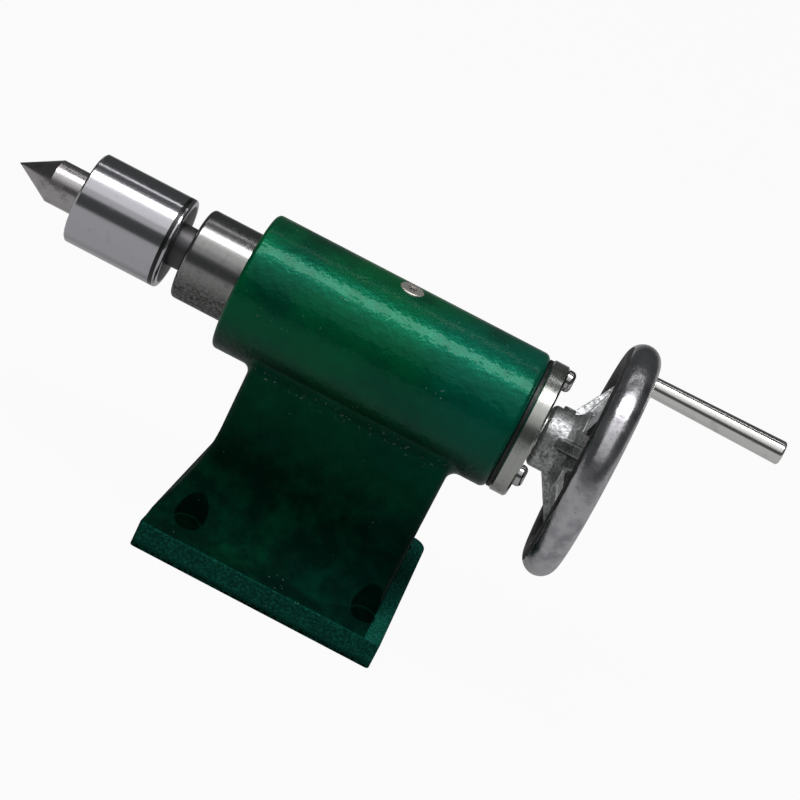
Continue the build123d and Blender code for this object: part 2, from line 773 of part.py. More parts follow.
with BuildPart() as centre_body:
    revolve(
        half_section(
            [
                (head_front, head_bore_radius),
                (thrust_step, head_bore_radius),
                (thrust_step, bush_radius),
                (bush_end, bush_radius),
                (bush_end, clip_radius + clear_fit),
                (clip_room_end, clip_radius + clear_fit),
                (clip_room_end, 0),
                (taper_small_end, 0),
                (taper_small_end, taper_small_radius),
                (head_rear, taper_neck_radius),
                (head_rear, head_diameter / 2),
                (seal_ring_rear, head_diameter / 2),
                (seal_ring_rear, head_diameter / 2 - seal_ring_depth),
                (seal_ring_front, head_diameter / 2 - seal_ring_depth),
                (seal_ring_front, head_diameter / 2),
                (head_front, head_diameter / 2),
            ]
        ),
        axis=spindle_axis,
    )
    head_rims = edges().filter_by(GeomType.CIRCLE).group_by(SortBy.RADIUS)[-1].sort_by(Axis.X)
    chamfer(head_rims[0], head_front_edge)
    fillet(head_rims[-1], head_rear_edge)
finish(centre_body, "centre_body")

with BuildPart() as centre_seal_ring:
    with BuildSketch(cross_plane(seal_ring_front)):
        Circle(head_diameter / 2 - seat_fit)
        Circle(head_diameter / 2 - seal_ring_depth + seat_fit, mode=Mode.SUBTRACT)
    extrude(amount=seal_ring_width)
finish(centre_seal_ring, "centre_seal_ring")

with BuildPart() as centre_front_ring:
    with BuildSketch(cross_plane(head_front)):
        Circle(head_bore_radius - seat_fit)
        Circle(point_diameter / 2 + front_ring_gap, mode=Mode.SUBTRACT)
    extrude(amount=front_ring_width)
finish(centre_front_ring, "centre_front_ring")

with BuildPart() as centre_bearing_ring:
    with BuildSketch(cross_plane(bearing_front)):
        Circle(head_bore_radius - seat_fit)
        Circle(roller_circle_radius + roller_diameter / 2 + running_fit, mode=Mode.SUBTRACT)
    extrude(amount=bearing_width)
finish(centre_bearing_ring, "centre_bearing_ring")

with BuildPart() as centre_rollers:
    with BuildSketch(cross_plane(roller_front)):
        with PolarLocations(roller_circle_radius, roller_count):
            Circle(roller_diameter / 2)
    extrude(amount=roller_length)
finish(centre_rollers, "centre_rollers")

with BuildPart() as centre_cage:
    with BuildSketch(cross_plane(roller_front - cage_rim)):
        Circle(roller_circle_radius + cage_wall)
        Circle(roller_circle_radius - cage_wall, mode=Mode.SUBTRACT)
    extrude(amount=roller_length + 2 * cage_rim)
    with BuildSketch(cross_plane(roller_front)):
        with PolarLocations(roller_circle_radius, roller_count):
            Circle(roller_diameter / 2 + seat_fit)
    extrude(amount=roller_length, mode=Mode.SUBTRACT)
finish(centre_cage, "centre_cage")

with BuildPart() as centre_thrust_washer:
    with BuildSketch(cross_plane(thrust_step)):
        Circle(head_bore_radius - seat_fit)
        Circle(tail_diameter / 2 + running_fit, mode=Mode.SUBTRACT)
    extrude(amount=-centre_washer_thickness)
finish(centre_thrust_washer, "centre_thrust_washer")

with BuildPart() as centre_bush:
    with BuildSketch(cross_plane(thrust_step)):
        Circle(bush_radius - seat_fit)
        Circle(tail_diameter / 2 + running_fit, mode=Mode.SUBTRACT)
    extrude(amount=bush_length)
finish(centre_bush, "centre_bush")

with BuildPart() as centre_point:
    revolve(
        half_section(
            [
                (point_tip, 0),
                (point_shoulder, point_diameter / 2),
                (thrust_step - centre_washer_thickness, point_diameter / 2),
                (thrust_step - centre_washer_thickness, tail_diameter / 2),
                (clip_front, tail_diameter / 2),
                (clip_front, tail_diameter / 2 - clip_groove_depth),
                (clip_front + clip_width, tail_diameter / 2 - clip_groove_depth),
                (clip_front + clip_width, tail_diameter / 2),
                (tail_end, tail_diameter / 2),
                (tail_end, 0),
            ]
        ),
        axis=spindle_axis,
    )
finish(centre_point, "centre_point")

with BuildPart() as centre_clip:
    with BuildSketch(cross_plane(clip_front)):
        Circle(clip_radius)
        Circle(tail_diameter / 2 - clip_groove_depth + seat_fit, mode=Mode.SUBTRACT)
        with Locations((clip_radius, 0)):
            Rectangle(clip_diameter, clip_opening, mode=Mode.SUBTRACT)
    extrude(amount=clip_width)
finish(centre_clip, "centre_clip")
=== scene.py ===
"""Looks of a small lathe tailstock with a rotating centre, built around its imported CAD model."""

from __future__ import annotations

import json
import logging
from dataclasses import dataclass
from enum import Enum
from math import cos, pi, radians, sin, tau

import bmesh
import bpy
from mathutils import Matrix, Vector

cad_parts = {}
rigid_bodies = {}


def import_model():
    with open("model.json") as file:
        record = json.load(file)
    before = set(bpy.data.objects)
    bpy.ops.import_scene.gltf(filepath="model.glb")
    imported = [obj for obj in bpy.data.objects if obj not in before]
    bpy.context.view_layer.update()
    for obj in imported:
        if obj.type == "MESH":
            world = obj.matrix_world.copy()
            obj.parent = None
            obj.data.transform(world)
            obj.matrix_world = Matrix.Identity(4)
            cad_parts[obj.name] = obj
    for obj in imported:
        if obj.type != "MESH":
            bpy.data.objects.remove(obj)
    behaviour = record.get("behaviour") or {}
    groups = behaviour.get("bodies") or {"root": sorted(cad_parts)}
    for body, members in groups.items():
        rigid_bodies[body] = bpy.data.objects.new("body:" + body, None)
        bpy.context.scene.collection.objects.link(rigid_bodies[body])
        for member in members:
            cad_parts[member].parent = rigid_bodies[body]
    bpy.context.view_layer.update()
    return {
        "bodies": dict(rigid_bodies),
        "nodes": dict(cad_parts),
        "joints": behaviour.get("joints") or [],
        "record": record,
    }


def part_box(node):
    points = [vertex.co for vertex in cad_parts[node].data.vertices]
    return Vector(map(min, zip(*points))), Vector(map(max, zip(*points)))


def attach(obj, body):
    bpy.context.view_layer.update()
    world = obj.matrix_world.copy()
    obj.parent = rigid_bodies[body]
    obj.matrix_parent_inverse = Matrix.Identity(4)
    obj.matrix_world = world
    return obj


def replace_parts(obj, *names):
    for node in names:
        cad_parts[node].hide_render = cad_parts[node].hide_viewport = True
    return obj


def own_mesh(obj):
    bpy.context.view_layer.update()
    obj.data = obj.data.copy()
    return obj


LOG = logging.getLogger("tailstock")
MM = 0.001
AXIS_HEIGHT = 101.0 * MM
"""Height of the spindle axis above the bed."""
RING_RADIUS = 43.0 * MM
"""Radius of the handwheel rim's centre line, which the crank handle stands on."""
CRANK_ANGLE = radians(36)
"""Angle of the crank handle about the spindle axis, from +Y towards +Z."""

VALUE, LOW, HIGH, BOTTOM, TOP = range(5)
"""Sockets of a Map Range node: it goes from bottom to top as the value goes from low to high."""
FACTOR, BASE, OVER = 0, 6, 7
"""Sockets of a Mix node between two colours."""
SMOOTH = {"interpolation_type": "SMOOTHSTEP"}
COLOURS = {"data_type": "RGBA"}
TIMES = {"operation": "MULTIPLY"}
TIMES_PLUS = {"operation": "MULTIPLY_ADD"}
GREATER = {"operation": "MAXIMUM"}
RAGGED = 0.62
"""Noise roughness at which patches have torn edges, as dirt and cast grain do."""


def linear(code: str) -> tuple[float, float, float, float]:
    """Turn an sRGB hex colour into a linear RGBA one."""
    channels = (int(code[i : i + 2], 16) / 255 for i in (1, 3, 5))
    return (*(c / 12.92 if c <= 0.04045 else ((c + 0.055) / 1.055) ** 2.4 for c in channels), 1.0)


def per_mm(size: float) -> float:
    """Scale at which a noise's features are about this many millimetres wide."""
    return 1.0 / (size * MM)


class NodeBench:
    """One material's node tree, with the place on the object that its patterns are read at."""

    def __init__(self, name: str) -> None:
        """Start a material with an empty tree.

        Args:
            name: the material's name.
        """
        self.material = bpy.data.materials.new(name)
        self.material.use_nodes = True
        self.tree = self.material.node_tree
        self.tree.nodes.clear()
        self.place = self.add("TexCoord").outputs["Object"]

    def add(
        self,
        kind: str,
        inputs: dict[int | str, object] | None = None,
        **settings: object,
    ) -> bpy.types.Node:
        """Add a node with its settings and links.

        Args:
            kind: the node's type, without its ShaderNode prefix.
            inputs: for each input socket a value, a hex colour, an output socket, or a node, whose
                first live output is linked.
            settings: attributes of the node.

        Returns:
            The new node.
        """
        node = self.tree.nodes.new("ShaderNode" + kind)
        for key, value in settings.items():
            setattr(node, key, value)
        for key, value in (inputs or {}).items():
            if isinstance(value, bpy.types.Node):
                value = next(socket for socket in value.outputs if socket.enabled)
            if isinstance(value, bpy.types.NodeSocket):
                self.tree.links.new(value, node.inputs[key])
            else:
                node.inputs[key].default_value = linear(value) if isinstance(value, str) else value
        return node

    def patches(
        self,
        size: float,
        low: float,
        high: float,
        bottom: float = 0.0,
        top: float = 1.0,
        detail: float = 4.0,
    ) -> bpy.types.Node:
        """Scatter soft-edged irregular patches, as dirt, wear and uneven gloss lie.

        Args:
            size: how wide they are, in millimetres.
            low: the noise level at which a patch begins.
            high: the level at which it is full.
            bottom: the value between patches.
            top: the value in a patch.
            detail: how ragged they are.

        Returns:
            The node that gives the value.
        """
        spread = {"Vector": self.place, "Scale": per_mm(size), "Detail": detail}
        noise = self.add("TexNoise", {**spread, "Roughness": RAGGED})
        levels = {VALUE: noise, LOW: low, HIGH: high, BOTTOM: bottom, TOP: top}
        return self.add("MapRange", levels, **SMOOTH)

    def close(self, **inputs: object) -> bpy.types.Material:
        """Finish the material with its surface shader.

        Args:
            inputs: the shader's sockets, with an underscore for a space.

        Returns:
            The finished material.
        """
        sockets = {key.replace("_", " "): value for key, value in inputs.items()}
        self.add("OutputMaterial", {0: self.add("BsdfPrincipled", sockets)})
        return self.material


class Lay(Enum):
    """Axis, as its Y and Z, that a turned or ground piece was spun about."""

    SPINDLE = (0.0, AXIS_HEIGHT)
    CRANK = (RING_RADIUS * cos(CRANK_ANGLE), AXIS_HEIGHT + RING_RADIUS * sin(CRANK_ANGLE))


@dataclass(frozen=True)
class MachineEnamel:
    """Oil enamel sprayed on sand-cast iron.

    The eye sees a deep wet green. Orange peel and the casting's slow waves break each reflection
    into dashes. Dust nibs stand in it, painted shade darkens the barrel's underside and the
    pedestal towards the foot, dry overspray dulls the foot's front edge and rear flat, and knocks
    along the foot show dark iron.
    """

    name: str = "green_machine_enamel"
    body: str = "#004c26"
    cool: str = "#004838"
    shade: str = "#00301f"
    # Near-black green of the painted shade under the barrel and down the pedestal.
    painted_shade_colour: str = "#00140f"
    sheen: str = "#0ae2b0"
    sheen_in_shade: str = "#023a2c"
    dust: str = "#1e6f5f"
    fleck: str = "#a9c7bd"
    chip: str = "#050b09"
    foot_front: float = -48.6 * MM
    foot_top: float = 13.0 * MM
    rear_flat: float = 45.4 * MM
    crease: float = 79.0 * MM
    # Height that painted shade, dust and gloss change about, just under the barrel's crease.
    """Height that dirt, dust and gloss change about, just under the crease along the barrel."""
    batch_drift: float = 20.0 * MM
    batch_length: float = 55.0 * MM
    belly_shade_reach: float = 18.0 * MM
    flank_shade_reach: float = 45.0 * MM
    dull_reach: float = 40.0 * MM
    wet_below: float = 6.0 * MM
    wet_above: float = 22.0 * MM
    seam_inner: float = 1.0 * MM
    seam_outer: float = 3.5 * MM
    knock_top: float = 4.0 * MM
    knock_full: float = 1.0 * MM
    wave_depth: float = 0.17 * MM
    peel_depth: float = 0.075 * MM
    sand_depth: float = 0.14 * MM

    def sprayed(self, bench: NodeBench, along: bpy.types.NodeSocket) -> bpy.types.Node:
        """Colour the clean paint, which drifts between a warmer and a cooler green.

        Args:
            bench: the material's bench.
            along: the place along the spindle.

        Returns:
            The colour.
        """
        reach = self.batch_drift
        sway = bench.patches(45, low=0.3, high=0.7, bottom=-reach, top=reach, detail=1.0)
        drift = bench.add("Math", {0: sway, 1: along}, operation="ADD")
        hue = bench.add("MapRange", {VALUE: drift, LOW: 0.0, HIGH: self.batch_length}, **SMOOTH)
        colour = bench.add("Mix", {FACTOR: hue, BASE: self.body, OVER: self.cool}, **COLOURS)
        thin = bench.patches(30, low=0.40, high=0.70)
        return bench.add("Mix", {FACTOR: thin, BASE: colour, OVER: self.shade}, **COLOURS)

    def painted_shade(self, bench: NodeBench, height: bpy.types.NodeSocket) -> bpy.types.Node:
        """Lay painted shade under the barrel's belly, and more of it towards the foot.

        Args:
            bench: the material's bench.
            height: the place above the bed.

        Returns:
            How dark the painted shade is, from 0 to 1.
        """
        crease = self.crease
        belly = {VALUE: height, LOW: crease + self.belly_shade_reach, HIGH: crease, TOP: 0.75}
        flank = {LOW: crease, HIGH: crease - self.flank_shade_reach, BOTTOM: 0.6, TOP: 0.97}
        under = {VALUE: height, LOW: crease + 1.0 * MM, HIGH: crease - 1.0 * MM}
        sides = {
            0: bench.add("MapRange", under, **SMOOTH),
            2: bench.add("MapRange", belly, **SMOOTH),
            3: bench.add("MapRange", {VALUE: height, **flank}, **SMOOTH),
        }
        uneven = bench.patches(12, low=0.3, high=0.6, bottom=0.8)
        return bench.add("Math", {0: bench.add("Mix", sides), 1: uneven}, **TIMES)

    def overspray(
        self,
        bench: NodeBench,
        along: bpy.types.NodeSocket,
        across: bpy.types.NodeSocket,
        height: bpy.types.NodeSocket,
    ) -> bpy.types.Node:
        """Find the foot's front edge and rear flat, which were left rougher and hold dust.

        Args:
            bench: the material's bench.
            along: the place along the spindle.
            across: the place across it.
            height: the place above the bed.

        Returns:
            Where they are, from 0 to 1.
        """
        edge, top, flat = self.foot_front, self.foot_top, self.rear_flat
        front = bench.add("MapRange", {VALUE: across, LOW: edge, HIGH: edge - 0.35 * MM}, **SMOOTH)
        level = bench.add("MapRange", {VALUE: height, LOW: top + 0.5 * MM, HIGH: top}, **SMOOTH)
        behind = bench.add("MapRange", {VALUE: along, LOW: flat, HIGH: flat + 0.4 * MM}, **SMOOTH)
        rear = bench.add("Math", {0: behind, 1: level}, **TIMES)
        return bench.add("Math", {0: front, 1: rear}, **GREATER)

    def specks(self, bench: NodeBench, height: bpy.types.NodeSocket) -> bpy.types.Node:
        """Scatter dust nibs all over, and pale specks along the crease under the barrel.

        Args:
            bench: the material's bench.
            height: the place above the bed.

        Returns:
            Where they are, from 0 to 1.
        """
        # Dust nibs are a few tenths of a millimetre across, and are drawn at half a millimetre
        # to show.
        cells = bench.add("TexVoronoi", {"Vector": bench.place, "Scale": per_mm(2.6)})
        dots = bench.add("MapRange", {VALUE: cells, LOW: 0.14, HIGH: 0.08}, **SMOOTH)
        nibs = bench.add("Math", {0: dots, 1: bench.patches(13, low=0.55, high=0.64)}, **TIMES)
        near = bench.add("Math", {0: height, 1: -self.crease}, operation="ADD")
        gap = bench.add("Math", {0: near}, operation="ABSOLUTE")
        reach = {VALUE: gap, LOW: self.seam_outer, HIGH: self.seam_inner}
        seam = bench.add("MapRange", reach, **SMOOTH)
        dots = bench.add("Math", {0: seam, 1: bench.patches(1.6, low=0.60, high=0.66)}, **TIMES)
        return bench.add("Math", {0: nibs, 1: dots}, **GREATER)

    def material(self) -> bpy.types.Material:
        """Make the enamel.

        Returns:
            The material.
        """
        bench = NodeBench(self.name)
        axes = bench.add("SeparateXYZ", {0: bench.place}).outputs
        along, across, height = axes["X"], axes["Y"], axes["Z"]
        clean, shaded = self.sprayed(bench, along), self.painted_shade(bench, height)
        # Painted shade: the paint darkens under the barrel and down the pedestal towards the foot.
        colour = bench.add("Mix", {FACTOR: shaded, BASE: clean, OVER: self.painted_shade_colour}, **COLOURS)
        bare = self.overspray(bench, along, across, height)
        fine = {"Vector": bench.place, "Scale": per_mm(1.2), "Detail": 4.0, "Roughness": 0.7}
        grit = bench.add("TexNoise", fine)
        held = {VALUE: grit, LOW: 0.42, HIGH: 0.68, BOTTOM: 0.25, TOP: 0.85}
        dusty = bench.add("Math", {0: bare, 1: bench.add("MapRange", held, **SMOOTH)}, **TIMES)
        colour = bench.add("Mix", {FACTOR: dusty, BASE: colour, OVER: self.dust}, **COLOURS)
        pale = self.specks(bench, height)
        faint = bench.add("Math", {0: pale, 1: 0.35}, **TIMES)
        colour = bench.add("Mix", {FACTOR: faint, BASE: colour, OVER: self.fleck}, **COLOURS)
        # The foot's lower edge was knocked on benches, down to dark iron.
        lower = {VALUE: height, LOW: self.knock_top, HIGH: self.knock_full}
        flake = bench.add("MapRange", {VALUE: grit, LOW: 0.46, HIGH: 0.52}, **SMOOTH)
        knocks = bench.add("Math", {0: bench.add("MapRange", lower, **SMOOTH), 1: flake}, **TIMES)
        colour = bench.add("Mix", {FACTOR: knocks, BASE: colour, OVER: self.chip}, **COLOURS)
        crease = self.crease
        fade = {VALUE: height, LOW: crease, HIGH: crease - self.dull_reach, TOP: 0.4}
        dull = bench.add("MapRange", fade, **SMOOTH)
        gloss = bench.patches(6, low=0.3, high=0.75, bottom=0.32, top=0.42)
        rough = bench.add("Math", {0: gloss, 1: dull}, operation="ADD")
        rough = bench.add("Math", {0: bare, 1: 0.25, 2: rough}, **TIMES_PLUS)
        rise = {LOW: crease - self.wet_below, HIGH: crease + self.wet_above, TOP: 0.17}
        wet = bench.add("MapRange", {VALUE: height, **rise}, **SMOOTH)
        # Painted shade also dims the specular tint where the paint is darkened.
        glow = bench.add("Mix", {FACTOR: shaded, BASE: self.sheen, OVER: self.sheen_in_shade}, **COLOURS)
        # Orange peel about two millimetres across lies on the casting's slow waves.
        slow = bench.patches(15, low=0.2, high=0.8, detail=2.0)
        waves = bench.add("Bump", {"Height": slow, "Distance": self.wave_depth})
        quick = bench.patches(2.4, low=0.2, high=0.8, detail=1.0)
        peel = bench.add("Bump", {"Height": quick, "Distance": self.peel_depth, "Normal": waves})
        grain = bench.add("Math", {0: grit, 1: bare, 2: pale}, **TIMES_PLUS)
        sand = bench.add("Bump", {"Height": grain, "Distance": self.sand_depth, "Normal": peel})
        return bench.close(
            Base_Color=colour,
            Roughness=rough,
            IOR=1.52,
            Specular_IOR_Level=0.85,
            Specular_Tint=glow,
            Normal=sand,
            Coat_Weight=wet,
            Coat_Roughness=0.11,
            Coat_IOR=1.5,
            Coat_Normal=peel,
        )


@dataclass(frozen=True)
class TurnedMetal:
    """Metal that was turned or ground on its own axis.

    The eye sees bands of light along the axis, drawn out a little round it by fine rings.
    Brown-grey patches lie on it, and its underside is darker.

    Pitches, ring depth and patch size are in millimetres. The shaded core's radius and the
    thread's start are in metres.
    """

    name: str
    tint: str
    stain_and_shade: str
    roughness: float
    ring_pitch: float = 0.5
    ring_depth: float = 0.0012
    ring_mark: float = 0.10
    stain_share: float = 0.35
    stain_size: float = 5.0
    anisotropy: float = 0.5
    underside: float = 0.0
    shaded_core: float = 0.0
    thread_pitch: float = 0.0
    thread_start: float = 0.0
    lay: Lay = Lay.SPINDLE

    def darkening(
        self, bench: NodeBench, height: bpy.types.NodeSocket, radius: bpy.types.Node
    ) -> bpy.types.Node:
        """Lay random stains, a darker underside and painted shade in the slender core.

        Args:
            bench: the material's bench.
            height: the place above the piece's own axis.
            radius: the distance from that axis.

        Returns:
            How dark they are, from 0 to 1.
        """
        begin = 0.62 - 0.3 * self.stain_share
        darkening = bench.patches(self.stain_size, begin, 0.75, top=self.stain_share, detail=5.0)
        # The underside is darkened, more so lower down, with a fine speckle.
        drop = {VALUE: height, LOW: 4.0 * MM, HIGH: -8.0 * MM, TOP: self.underside}
        below = bench.add("MapRange", drop, **SMOOTH)
        fine = bench.patches(1.1, low=0.36, high=0.66, bottom=0.45, detail=5.0)
        speckle = bench.add("Math", {0: below, 1: fine}, **TIMES)
        darkening = bench.add("Math", {0: darkening, 1: speckle}, **GREATER)
        if self.shaded_core:
            # Painted shade darkens the slender part inside the core's radius, which lies in shadow.
            outer, inner = self.shaded_core + 0.5 * MM, self.shaded_core - 0.5 * MM
            core = {VALUE: radius, LOW: outer, HIGH: inner, TOP: 0.85}
            darkening = bench.add("Math", {0: darkening, 1: bench.add("MapRange", core, **SMOOTH)}, **GREATER)
        return darkening

    def thread(
        self, bench: NodeBench, axes: bpy.types.NodeOutputs, relief: bpy.types.Node
    ) -> bpy.types.Node:
        """Cut a single-start thread, whose phase goes round once in each pitch.

        Args:
            bench: the material's bench.
            axes: the place from the piece's own axis, as its three coordinates.
            relief: the relief it is cut in.

        Returns:
            The relief with the thread.
        """
        pitch = self.thread_pitch * MM
        turn = bench.add("Math", {0: axes["Z"], 1: axes["Y"]}, operation="ARCTAN2")
        pitches = bench.add("Math", {0: axes["X"], 1: 1.0 / pitch}, **TIMES)
        phase = bench.add("Math", {0: turn, 1: 1.0 / tau, 2: pitches}, **TIMES_PLUS)
        flank = bench.add("Math", {0: phase, 1: 0.5}, operation="PINGPONG")
        begin = {VALUE: axes["X"], LOW: self.thread_start, HIGH: self.thread_start + 0.2 * MM}
        cut = bench.add("Math", {0: flank, 1: bench.add("MapRange", begin, **SMOOTH)}, **TIMES)
        return bench.add("Bump", {"Height": cut, "Distance": pitch, "Normal": relief})

    def material(self) -> bpy.types.Material:
        """Make the metal.

        Returns:
            The material.
        """
        bench = NodeBench(self.name)
        axis = (0.0, *self.lay.value)
        centred = bench.add("VectorMath", {0: bench.place, 1: axis}, operation="SUBTRACT")
        flat = bench.add("VectorMath", {0: centred, 1: (0.0, 1.0, 1.0)}, **TIMES)
        radius = bench.add("VectorMath", {0: flat}, operation="LENGTH")
        axes = bench.add("SeparateXYZ", {0: centred}).outputs
        # Rings lie across the axis on the outside and round it on an end face.
        place = bench.add("CombineXYZ", {0: axes["X"], 1: radius})
        lines = {"Vector": place, "Scale": per_mm(self.ring_pitch), "Detail": 3.0}
        rings = bench.add("TexNoise", {**lines, "Roughness": 0.6})
        darkening = self.darkening(bench, axes["Z"], radius)
        colour = bench.add("Mix", {FACTOR: darkening, BASE: self.tint, OVER: self.stain_and_shade}, **COLOURS)
        drawn = {VALUE: rings, LOW: 0.3, HIGH: 0.8, TOP: self.ring_mark}
        mark = bench.add("MapRange", drawn, **SMOOTH)
        colour = bench.add("Mix", {FACTOR: mark, BASE: colour, OVER: self.stain_and_shade}, **COLOURS)
        smoother, rougher = self.roughness * 0.85, self.roughness * 1.15
        shine = {VALUE: rings, LOW: 0.2, HIGH: 0.8, BOTTOM: smoother, TOP: rougher}
        gloss = bench.add("MapRange", shine, **SMOOTH)
        rough = bench.add("Math", {0: darkening, 1: 0.35, 2: gloss}, **TIMES_PLUS)
        ahead = (1.0, 0.0, 0.0)
        round_axis = bench.add("VectorMath", {0: flat, 1: ahead}, operation="CROSS_PRODUCT")
        tangent = bench.add("VectorMath", {0: round_axis}, operation="NORMALIZE")
        normal = bench.add("Bump", {"Height": rings, "Distance": self.ring_depth * MM})
        if self.thread_pitch:
            normal = self.thread(bench, axes, normal)
        return bench.close(
            Base_Color=colour,
            Metallic=1.0,
            Roughness=rough,
            Anisotropic=self.anisotropy,
            Normal=normal,
            Tangent=tangent,
        )


@dataclass(frozen=True)
class Bronze(TurnedMetal):
    """Turned bearing bronze. The eye sees a dull gold that oil has browned."""

    tint: str = "#b98a52"
    stain_and_shade: str = "#7a5530"
    roughness: float = 0.25


@dataclass(frozen=True)
class CastMetal:
    """Iron as it left the sand mould and the tumbling barrel.

    The eye sees a bright grey grain about a millimetre across. Its edges are lighter, partly from
    tumbling and partly as painted highlight, and its hollows hold painted shade.

    Grain and depth are in millimetres.
    """

    name: str
    bright: str
    dark_and_shade: str
    roughness: float
    edge: str = "#ececed"
    grain: float = 1.4
    depth: float = 0.22
    metallic: float = 1.0

    def material(self) -> bpy.types.Material:
        """Make the metal.

        Returns:
            The material.
        """
        bench = NodeBench(self.name)
        sand = {"Vector": bench.place, "Scale": per_mm(self.grain), "Detail": 5.0}
        grain = bench.add("TexNoise", {**sand, "Roughness": RAGGED})
        lit = bench.add("MapRange", {VALUE: grain, LOW: 0.32, HIGH: 0.62, BOTTOM: 0.45}, **SMOOTH)
        colour = bench.add("Mix", {FACTOR: lit, BASE: self.dark_and_shade, OVER: self.bright}, **COLOURS)
        worn = bench.patches(7, low=0.5, high=0.72, top=0.6)
        colour = bench.add("Mix", {FACTOR: worn, BASE: colour, OVER: self.dark_and_shade}, **COLOURS)
        # Pointiness is 0.5 on a flat face, less in a hollow and more on an edge.
        edge = bench.add("NewGeometry").outputs["Pointiness"]
        # Painted shade darkens the hollows.
        hollow_shade = bench.add("MapRange", {VALUE: edge, LOW: 0.494, HIGH: 0.455, TOP: 0.9}, **SMOOTH)
        colour = bench.add("Mix", {FACTOR: hollow_shade, BASE: colour, OVER: self.dark_and_shade}, **COLOURS)
        # Edges are lightened, partly as tumbling wear and partly as painted highlight.
        edge_wear_and_light = bench.add("MapRange", {VALUE: edge, LOW: 0.515, HIGH: 0.55, TOP: 0.85}, **SMOOTH)
        colour = bench.add("Mix", {FACTOR: edge_wear_and_light, BASE: colour, OVER: self.edge}, **COLOURS)
        rougher, smoother = self.roughness * 1.25, self.roughness * 0.8
        shine = {VALUE: grain, LOW: 0.3, HIGH: 0.7, BOTTOM: rougher, TOP: smoother}
        rough = bench.add("MapRange", shine, **SMOOTH)
        lumps = bench.patches(6, low=0.2, high=0.8)
        slow = bench.add("Bump", {"Height": lumps, "Distance": self.depth * MM})
        half = self.depth * 0.5 * MM
        fine = bench.add("Bump", {"Height": grain, "Distance": half, "Normal": slow})
        return bench.close(
            Base_Color=colour, Metallic=self.metallic, Roughness=rough, Normal=fine
        )


@dataclass(frozen=True)
class BlackenedSteel(CastMetal):
    """Steel with an oiled black oxide. The eye sees a near-black satin, greyer on its edges."""

    bright: str = "#2c2b2d"
    dark_and_shade: str = "#131313"
    roughness: float = 0.38
    edge: str = "#4a494c"
    grain: float = 0.6
    depth: float = 0.02
    metallic: float = 0.8


@dataclass(frozen=True)
class PolishedRim:
    """Plate on a hand-buffed cast rim.

    The eye sees one soft broad band of light, scratches that run round the rim and spots of dirt.
    The side that faces the hub was out of the buffing wheel's reach, and stays as cast.
    """

    station: float
    ring: float
    section: float
    name: str = "buffed_rim_plate"
    plate: str = "#cccace"
    smear: str = "#918f97"
    cast: str = "#3c3a39"
    roughness: float = 0.24
    reach_out: float = 0.55
    reach_back: float = 0.835

    def material(self) -> bpy.types.Material:
        """Make the plate.

        Returns:
            The material.
        """
        bench = NodeBench(self.name)
        middle = (self.station, 0.0, AXIS_HEIGHT)
        centred = bench.add("VectorMath", {0: bench.place, 1: middle}, operation="SUBTRACT")
        flat = bench.add("VectorMath", {0: centred, 1: (0.0, 1.0, 1.0)}, **TIMES)
        radius = bench.add("VectorMath", {0: flat}, operation="LENGTH")
        along = bench.add("SeparateXYZ", {0: centred}).outputs["X"]
        outwards = bench.add("Math", {0: radius, 1: self.ring}, operation="SUBTRACT")
        # The buffing wheel reached the outside and the rear, so the cast skin is left inside and
        # in front.
        ragged = bench.patches(7, low=0.2, high=0.8, bottom=-0.08, top=0.08)
        outer = {0: outwards, 1: self.reach_out / self.section, 2: ragged}
        rear = {0: along, 1: self.reach_back / self.section}
        reach = bench.add("Math", {**rear, 2: bench.add("Math", outer, **TIMES_PLUS)}, **TIMES_PLUS)
        skin = bench.add("MapRange", {VALUE: reach, LOW: -0.34, HIGH: -0.42}, **SMOOTH)
        sand = {"Vector": bench.place, "Scale": per_mm(1.3), "Detail": 5.0, "Roughness": RAGGED}
        grain = bench.add("TexNoise", sand)
        cloudy = bench.patches(9, low=0.45, high=0.72, top=0.7)
        colour = bench.add("Mix", {FACTOR: cloudy, BASE: self.plate, OVER: self.smear}, **COLOURS)
        spots = bench.patches(2.2, low=0.66, high=0.72, top=0.7)
        colour = bench.add("Mix", {FACTOR: spots, BASE: colour, OVER: self.cast}, **COLOURS)
        pits = {VALUE: grain, LOW: 0.35, HIGH: 0.6, BOTTOM: 1.0, TOP: 0.85}
        shown = bench.add("Math", {0: skin, 1: bench.add("MapRange", pits, **SMOOTH)}, **TIMES)
        colour = bench.add("Mix", {FACTOR: shown, BASE: colour, OVER: self.cast}, **COLOURS)
        # Buffing scratches run round the rim.
        place = bench.add("CombineXYZ", {0: along, 1: outwards})
        rings = bench.add("TexNoise", {"Vector": place, "Scale": per_mm(0.6), "Detail": 3.0})
        smoother, rougher = self.roughness * 0.8, self.roughness * 1.3
        gloss = bench.patches(8, low=0.3, high=0.7, bottom=smoother, top=rougher)
        rough = bench.add("Math", {0: skin, 1: 0.35, 2: gloss}, **TIMES_PLUS)
        lumps = bench.patches(6, low=0.2, high=0.8, detail=2.0)
        slow = bench.add("Bump", {"Height": lumps, "Distance": 0.07 * MM})
        buffed = bench.add("Bump", {"Height": rings, "Distance": 0.003 * MM, "Normal": slow})
        cast = bench.add("Math", {0: grain, 1: skin}, **TIMES)
        normal = bench.add("Bump", {"Height": cast, "Distance": 0.25 * MM, "Normal": buffed})
        return bench.close(Base_Color=colour, Metallic=1.0, Roughness=rough, Normal=normal)


